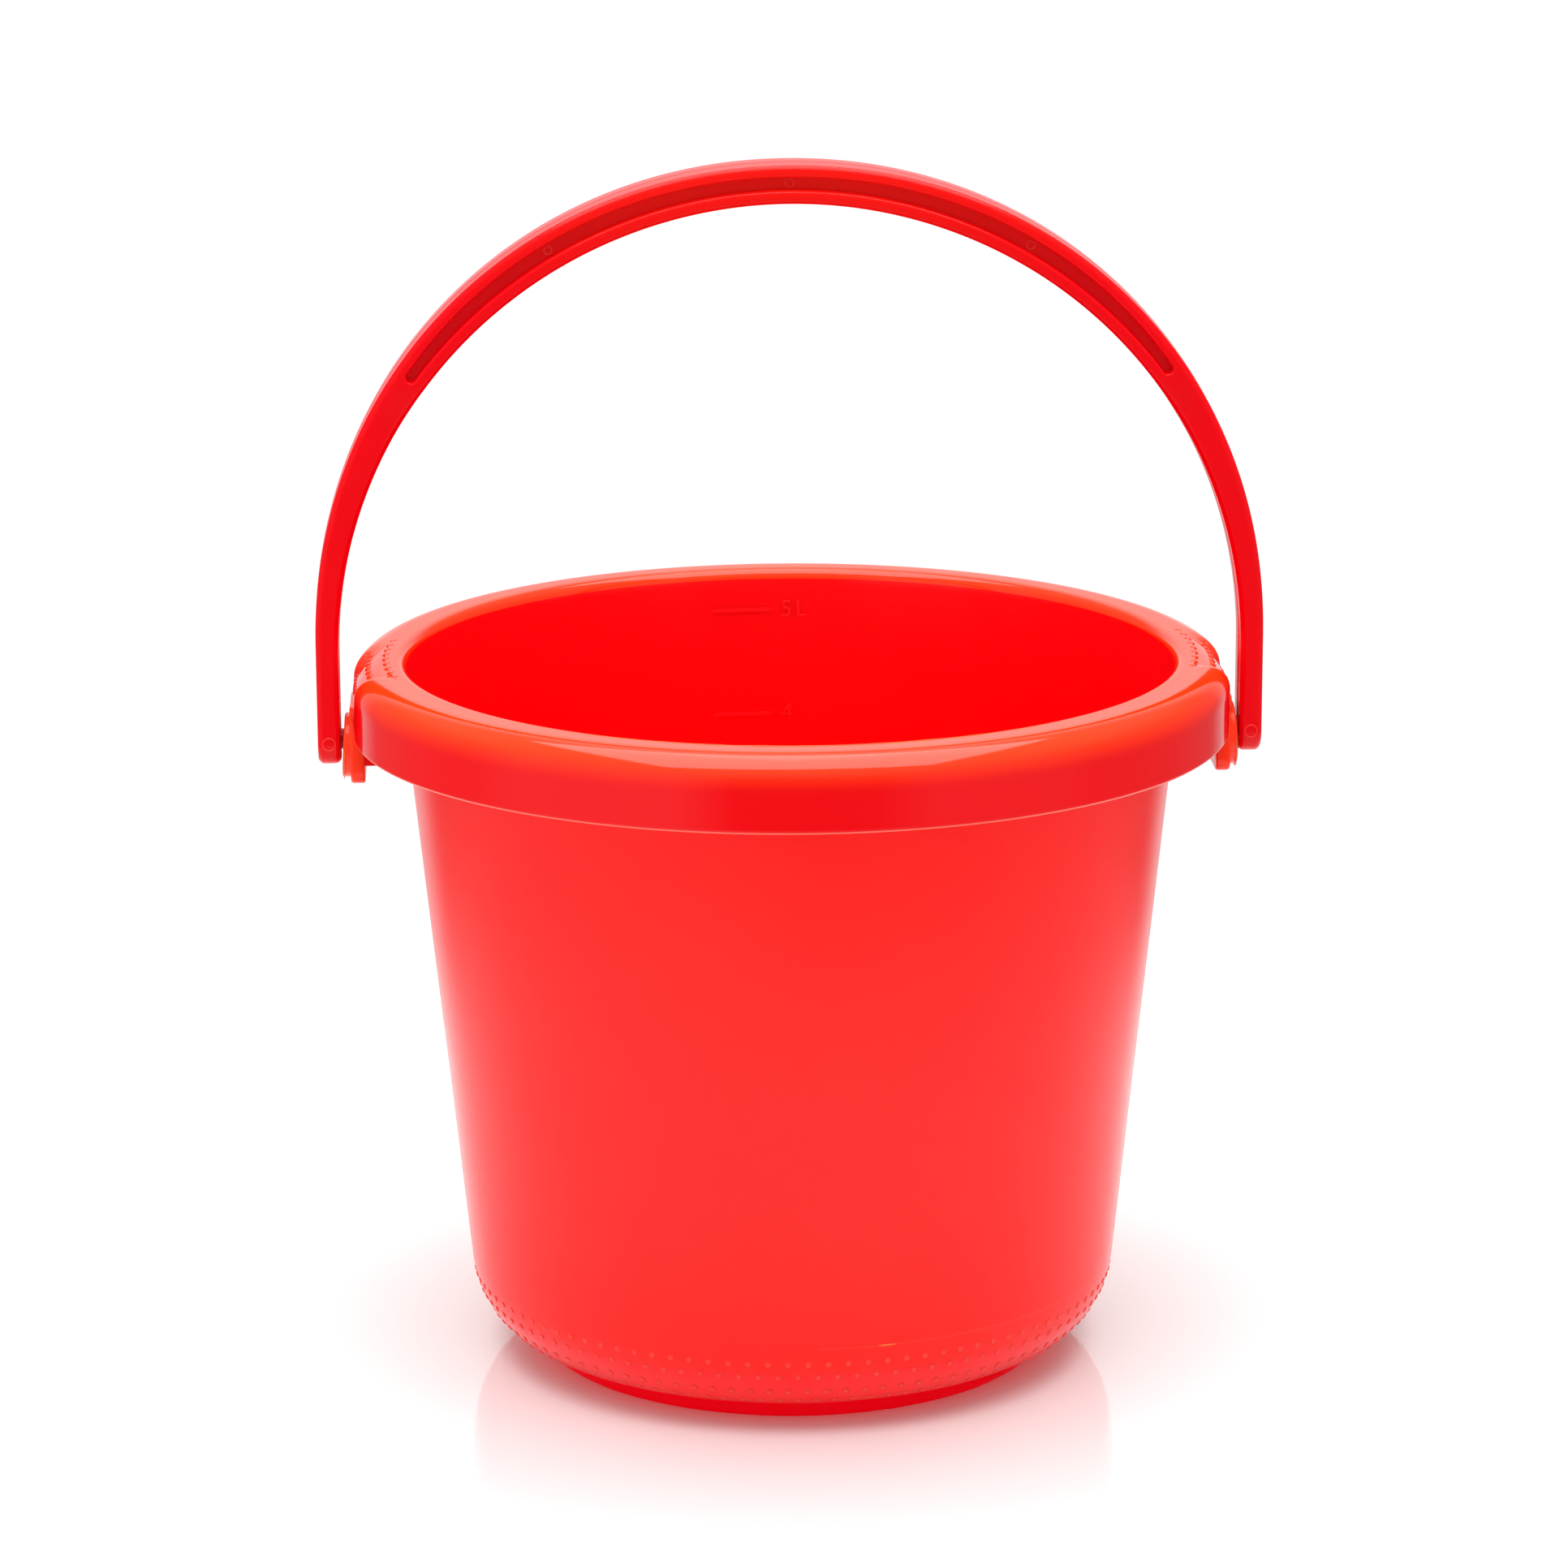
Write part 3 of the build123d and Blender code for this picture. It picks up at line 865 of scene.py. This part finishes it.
# ------------------------------------------------------------------------------------------------
# Ejector marks. The pins that push the bail out of its mould leave a fine raised ring where each
# one stood: one on the front of each arm's round end and three in the front groove.
# ------------------------------------------------------------------------------------------------
RING_WIRE = 0.15 * MM
ARM_MARK_RADIUS = 1.7 * MM
GROOVE_MARK_RADIUS = 1.1 * MM
GROOVE_MARK_LEAN = 31.0
arm_middle = (arm_inner + arm_high.x) / 2
groove_floor = -(GRIP_HALF_DEPTH - GROOVE_DEPTH)


def ejector_ring(name, x, y, z, radius):
    """Raised ring of half-sunk wire, lying in the XZ plane."""
    rows = []
    for round_ring in np.radians(np.linspace(0, 360, 40, endpoint=False)):
        row = []
        for round_wire in np.radians(np.linspace(0, 360, 8, endpoint=False)):
            away = radius + RING_WIRE * math.cos(round_wire)
            row.append((
                x + away * math.cos(round_ring),
                y + RING_WIRE * math.sin(round_wire),
                z + away * math.sin(round_ring),
            ))
        rows.append(row)
    made = skin(name, np.array(rows), wrap=True, sharp=80)
    made.data.materials.append(line_red)
    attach(made, "handle")


ejector_ring("ejector_mark_right", arm_middle, -ARM_HALF_DEPTH, pivot.z, ARM_MARK_RADIUS)
ejector_ring("ejector_mark_left", -arm_middle, -ARM_HALF_DEPTH, pivot.z, ARM_MARK_RADIUS)
for name, share in (("groove_left", -1), ("groove_middle", 0), ("groove_right", 1)):
    lean = share * GROOVE_MARK_LEAN
    a = math.radians(lean)
    reach = (inner_reach(lean) + INNER_FLANGE + outer_reach(lean) - OUTER_FLANGE) / 2
    x, z = reach * math.sin(a), FAN_CENTRE + reach * math.cos(a)
    ejector_ring("ejector_mark_" + name, x, groove_floor, z, GROOVE_MARK_RADIUS)

# ------------------------------------------------------------------------------------------------
# Pivot pins. A round pin on the inside of each arm, moulded with the bail, with a collar at its
# root and a chamfered snap head that has been pressed through the ear's hole.
# ------------------------------------------------------------------------------------------------
pin_low, pin_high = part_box("pivot_pin_right")
PIN_RADIUS = 2.8 * MM
HEAD_RADIUS = pin_high.z - pivot.z
COLLAR = 0.7 * MM
pin_outline = [(pin_low.x, 0.1 * MM), (pin_low.x, HEAD_RADIUS - 1.2 * MM)]
pin_outline += [(pin_low.x + 0.3 * MM, HEAD_RADIUS - 0.8 * MM)]
pin_outline += [(pin_low.x + 1.1 * MM, HEAD_RADIUS - 0.1 * MM)]
pin_outline += [(pin_low.x + 1.3 * MM, HEAD_RADIUS)]
pin_outline += [(ear_low.x - 0.45 * MM, HEAD_RADIUS), (ear_low.x - 0.3 * MM, HEAD_RADIUS - 0.2 * MM)]
pin_outline += [(ear_low.x - 0.3 * MM, PIN_RADIUS + 0.1 * MM), (ear_low.x - 0.1 * MM, PIN_RADIUS)]
pin_outline += [(ear_high.x + 0.2 * MM, PIN_RADIUS), (arm_inner, PIN_RADIUS + COLLAR)]
pin_outline += [(arm_inner + 0.5 * MM, PIN_RADIUS + COLLAR)]
for side, name in ((1, "right"), (-1, "left")):
    rows = []
    for out, away in pin_outline:
        ring = np.radians(np.linspace(0, 360, 48, endpoint=False))
        rows.append([(side * out, away * math.cos(a), pivot.z + away * math.sin(a)) for a in ring])
    pin = skin("snap_pin_" + name, np.array(rows), caps=True, sharp=35)
    pin.data.materials.append(bail_red_and_painted_highlight)
    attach(pin, "handle")
    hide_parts("pivot_pin_" + name)

# ------------------------------------------------------------------------------------------------
# Table. A white glossy sheet under the pail that mirrors it faintly and melts into the white room.
# ------------------------------------------------------------------------------------------------
TABLE_RADIUS = 0.5
TABLE_SOLID = 0.22
TABLE_WHITE = 0.81
TABLE_ROUGHNESS = 0.07
TABLE_IOR = 1.5

table_mesh = bpy.data.meshes.new("table")
table_edge = [swung(TABLE_RADIUS, 0, step * 5) for step in range(72)]
table_mesh.from_pydata([tuple(point) for point in table_edge], [], [list(range(72))])
table = bpy.data.objects.new("table", table_mesh)
bpy.context.scene.collection.objects.link(table)

table_white = bpy.data.materials.new("table_white")
table_white.use_nodes = True
table_nodes = table_white.node_tree.nodes
table_join = table_white.node_tree.links.new
sheet = table_nodes["Principled BSDF"]
sheet.inputs["Base Color"].default_value = (TABLE_WHITE, TABLE_WHITE, TABLE_WHITE, 1)
sheet.inputs["Roughness"].default_value = TABLE_ROUGHNESS
sheet.inputs["IOR"].default_value = TABLE_IOR
spot = table_nodes.new("ShaderNodeTexCoord")
from_middle = table_nodes.new("ShaderNodeVectorMath")
from_middle.operation = "LENGTH"
table_join(spot.outputs["Object"], from_middle.inputs[0])
melt = table_nodes.new("ShaderNodeMapRange")
melt.interpolation_type = "SMOOTHERSTEP"
melt.inputs["From Min"].default_value = TABLE_SOLID
melt.inputs["From Max"].default_value = TABLE_RADIUS
melt.inputs["To Min"].default_value = 1.0
melt.inputs["To Max"].default_value = 0.0
table_join(from_middle.outputs["Value"], melt.inputs["Value"])
table_join(melt.outputs["Result"], sheet.inputs["Alpha"])
table_mesh.materials.append(table_white)

# ------------------------------------------------------------------------------------------------
# Light. One large softbox hangs over the pail and a little in front of it. The rest is the room: a
# bright wall behind, two dim cards in front at the left and right, and dark around the camera.
# ------------------------------------------------------------------------------------------------
SOFTBOX_RADIANCE = 3.9
SOFTBOX_WIDE = 1.62
SOFTBOX_DEEP = 1.47
SOFTBOX_FORWARD = 0.2
SOFTBOX_ABOVE = 1.3
ROOM_WHITE = 1.05
softbox = bpy.data.lights.new("softbox", "AREA")
softbox.shape = "RECTANGLE"
softbox.size = SOFTBOX_WIDE
softbox.size_y = SOFTBOX_DEEP
softbox.energy = SOFTBOX_RADIANCE * math.pi * SOFTBOX_WIDE * SOFTBOX_DEEP
hung = bpy.data.objects.new("softbox", softbox)
hung.location = (0, -SOFTBOX_FORWARD, rim_top + SOFTBOX_ABOVE)
hung.visible_camera = False
bpy.context.scene.collection.objects.link(hung)

world = bpy.data.worlds.new("room")
bpy.context.scene.world = world
world.use_nodes = True
room = world.node_tree.nodes
room_join = world.node_tree.links.new
room.clear()


def worked(operation, *values):
    """Math node over sockets and plain numbers."""
    made = room.new("ShaderNodeMath")
    made.operation = operation
    for socket, value in zip(made.inputs, values):
        if isinstance(value, (int, float)):
            socket.default_value = value
        else:
            room_join(value, socket)
    return made.outputs[0]


def graded(value, stops):
    """Grey ramp over a 0 to 1 value from (place, brightness) stops."""
    made = room.new("ShaderNodeValToRGB")
    bar = made.color_ramp
    while len(bar.elements) < len(stops):
        bar.elements.new(0.5)
    for stop, (at, bright) in zip(bar.elements, stops):
        stop.position = at
        stop.color = (bright, bright, bright, 1)
    room_join(value, made.inputs["Fac"])
    return made.outputs["Color"]


look = room.new("ShaderNodeTexCoord")
aim = room.new("ShaderNodeSeparateXYZ")
room_join(look.outputs["Generated"], aim.inputs["Vector"])
heading = worked("MULTIPLY", worked("ARCTAN2", aim.outputs["X"], aim.outputs["Y"]), 1 / math.tau)
heading_share = worked("ADD", heading, 0.5)
climb = worked("MULTIPLY", worked("ARCSINE", aim.outputs["Z"]), 1 / math.pi)
climb_share = worked("ADD", climb, 0.5)


def round_room(stops):
    """Brightness round the room from (heading in degrees, brightness); 0 is behind, + is right."""
    return graded(heading_share, [(at / 360 + 0.5, bright) for at, bright in stops])


def up_room(stops):
    """Brightness up the room from (degrees above level, brightness)."""
    return graded(climb_share, [(at / 180 + 0.5, bright) for at, bright in stops])


cards = round_room([
    (-180, 0.10), (-163, 0.12), (-147, 0.62), (-105, 0.60), (-85, 0.30), (-40, 0.22), (-25, 0.8),
    (25, 0.8), (40, 0.22), (95, 0.26), (112, 0.40), (145, 0.42), (161, 0.12), (180, 0.10),
])
table_far = round_room([
    (-180, 0.6), (-150, 0.85), (-110, 1.0), (-60, 0.8), (-30, 0.6), (30, 0.6), (70, 0.8),
    (110, 0.8), (150, 0.65), (180, 0.6),
])
back_wall = round_room([(-180, 0), (-38, 0), (-22, 1), (22, 1), (38, 0)])
table_share = up_room([(-22, 1), (-19, 0)])
high_share = up_room([(22, 0), (38, 1)])
back_climb = up_room([(12, 0), (38, 1.2), (62, 1.0), (90, 0.8)])
card_share = worked("SUBTRACT", worked("SUBTRACT", 1, high_share), table_share)
mirrored = worked("MULTIPLY", cards, card_share)
mirrored = worked("ADD", mirrored, worked("MULTIPLY", table_far, table_share))
mirrored = worked("ADD", mirrored, worked("MULTIPLY", high_share, 0.5))
mirrored = worked("ADD", mirrored, worked("MULTIPLY", back_wall, back_climb))
soft = round_room([(-180, 0.9), (-120, 1.0), (-60, 0.95), (60, 0.85), (120, 0.78), (180, 0.9)])

ray = room.new("ShaderNodeLightPath")


def lamp(strength):
    """White background shader of a plain or a graded strength."""
    made = room.new("ShaderNodeBackground")
    made.inputs["Color"].default_value = (1, 1, 1, 1)
    if isinstance(strength, float):
        made.inputs["Strength"].default_value = strength
    else:
        room_join(strength, made.inputs["Strength"])
    return made.outputs[0]


def chosen_for(kind, yes, no):
    """One shader for rays of this kind and another for the rest."""
    made = room.new("ShaderNodeMixShader")
    room_join(ray.outputs[kind], made.inputs[0])
    room_join(no, made.inputs[1])
    room_join(yes, made.inputs[2])
    return made.outputs[0]


ends = room.new("ShaderNodeOutputWorld")
either = chosen_for("Is Glossy Ray", lamp(mirrored), lamp(soft))
room_join(chosen_for("Is Camera Ray", lamp(ROOM_WHITE), either), ends.inputs["Surface"])
bpy.context.scene.view_settings.view_transform = "Standard"

# ------------------------------------------------------------------------------------------------
# Camera. A long lens at chest height, a little left of square to the bail, looking down into the
# pail's mouth.
# ------------------------------------------------------------------------------------------------
CAMERA_AWAY = 1.4977
CAMERA_HEIGHT = 0.5435
CAMERA_LENS = 129.2
CAMERA_ROUND = math.radians(2.7)
CAMERA_DOWN = 0.25178
CAMERA_HEADING = CAMERA_ROUND - 0.00123
CAMERA_ROLL = -0.00378
lens = bpy.data.cameras.new("camera")
lens.lens = CAMERA_LENS
lens.sensor_width = 36
lens.clip_start = 0.05
lens.clip_end = 50
camera = bpy.data.objects.new("camera", lens)
across = -CAMERA_AWAY * math.sin(CAMERA_ROUND)
forward = -CAMERA_AWAY * math.cos(CAMERA_ROUND)
camera.matrix_world = (
    Matrix.Translation((across, forward, CAMERA_HEIGHT))
    @ Matrix.Rotation(-CAMERA_HEADING, 4, "Z")
    @ Matrix.Rotation(math.pi / 2 - CAMERA_DOWN, 4, "X")
    @ Matrix.Rotation(CAMERA_ROLL, 4, "Z")
)
bpy.context.scene.collection.objects.link(camera)
bpy.context.scene.camera = camera

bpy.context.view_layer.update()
